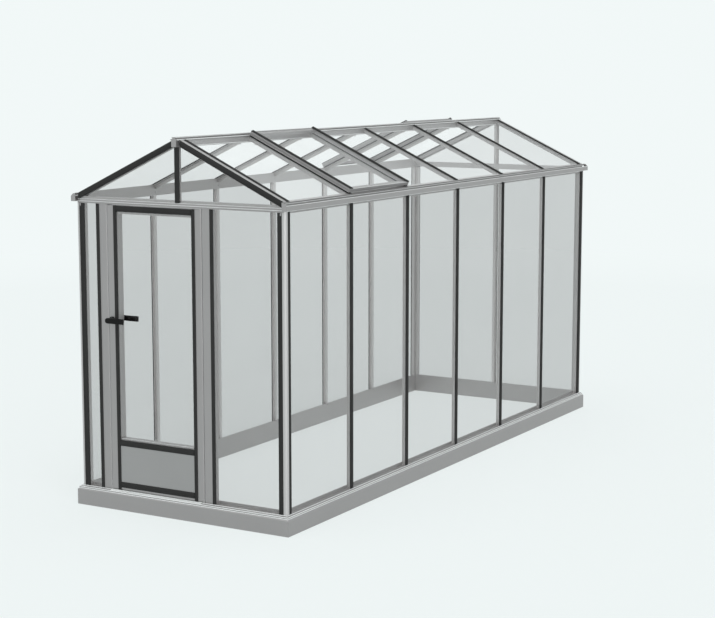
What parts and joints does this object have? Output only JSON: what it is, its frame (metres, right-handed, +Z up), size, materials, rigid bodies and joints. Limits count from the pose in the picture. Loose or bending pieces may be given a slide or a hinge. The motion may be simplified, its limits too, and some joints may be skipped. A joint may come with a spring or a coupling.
{
  "type": "glass greenhouse",
  "caption": "Free-standing glass greenhouse with an aluminium frame, pitched glass roof, gutters, closed roof vents and a hinged half-panelled door in the front gable.",
  "frame": {"origin": "centre of the footprint, on the ground under the base", "axes": "+X to the right seen from the front, +Y from the front gable with the door to the back gable, +Z up"},
  "size_m": [1.61, 4.597, 2.3955],
  "materials": {
    "base": "mill-finished extruded aluminium, satin",
    "frame": "mill-finished extruded aluminium, satin",
    "gutter": "mill-finished extruded aluminium, satin",
    "glass": "clear toughened glass, polished",
    "strips": "black rigid plastic capping, fine matt",
    "pins": "turned stainless steel",
    "door_frame": "mill-finished extruded aluminium, satin",
    "door_panel": "mill-finished aluminium sheet, satin",
    "handle": "black moulded plastic, fine matt"
  },
  "bodies": {
    "greenhouse": {"base_front_rail": "base", "base_back_rail": "base", "base_left_rail": "base", "base_right_rail": "base", "corner_posts": "frame", "left_wall_bars": "frame", "right_wall_bars": "frame", "back_wall_bar": "frame", "door_jambs": "frame", "front_eave_tie": "frame", "back_eave_tie": "frame", "left_gutter": "gutter", "right_gutter": "gutter", "ridge_beam": "frame", "gable_rafters": "frame", "left_roof_bars": "frame", "right_roof_bars": "frame", "gable_king_posts": "frame", "left_wall_glass": "glass", "right_wall_glass": "glass", "back_wall_glass": "glass", "front_wall_glass": "glass", "front_gable_glass": "glass", "back_gable_glass": "glass", "left_roof_glass": "glass", "right_roof_glass": "glass", "vent_side_rails": "frame", "vent_cross_rails": "frame", "vent_glass": "glass", "left_wall_strips": "strips", "right_wall_strips": "strips", "front_wall_strips": "strips", "back_wall_strips": "strips", "gable_strips": "strips", "left_roof_strips": "strips", "right_roof_strips": "strips", "vent_strips": "strips", "door_pivot_pins": "pins"},
    "door": {"door_stiles": "door_frame", "door_rails": "door_frame", "door_glass": "glass", "door_kick_panel": "door_panel", "door_strips": "strips", "door_handle_roses": "handle"},
    "handle": {"door_handle": "handle"}
  },
  "joints": [
    {"name": "door_swing", "type": "hinge", "parent": "greenhouse", "child": "door", "pos_m": [0.165, -2.247, 0.13], "axis": [0, 0, 1], "range_deg": [0, 100]},
    {"name": "handle_turn", "type": "hinge", "parent": "door", "child": "handle", "pos_m": [-0.518, -2.227, 1.22], "axis": [0, 1, 0], "range_deg": [0, 35], "stiffness_Nm_per_rad": 0.8, "springref_deg": -34.38}
  ]
}
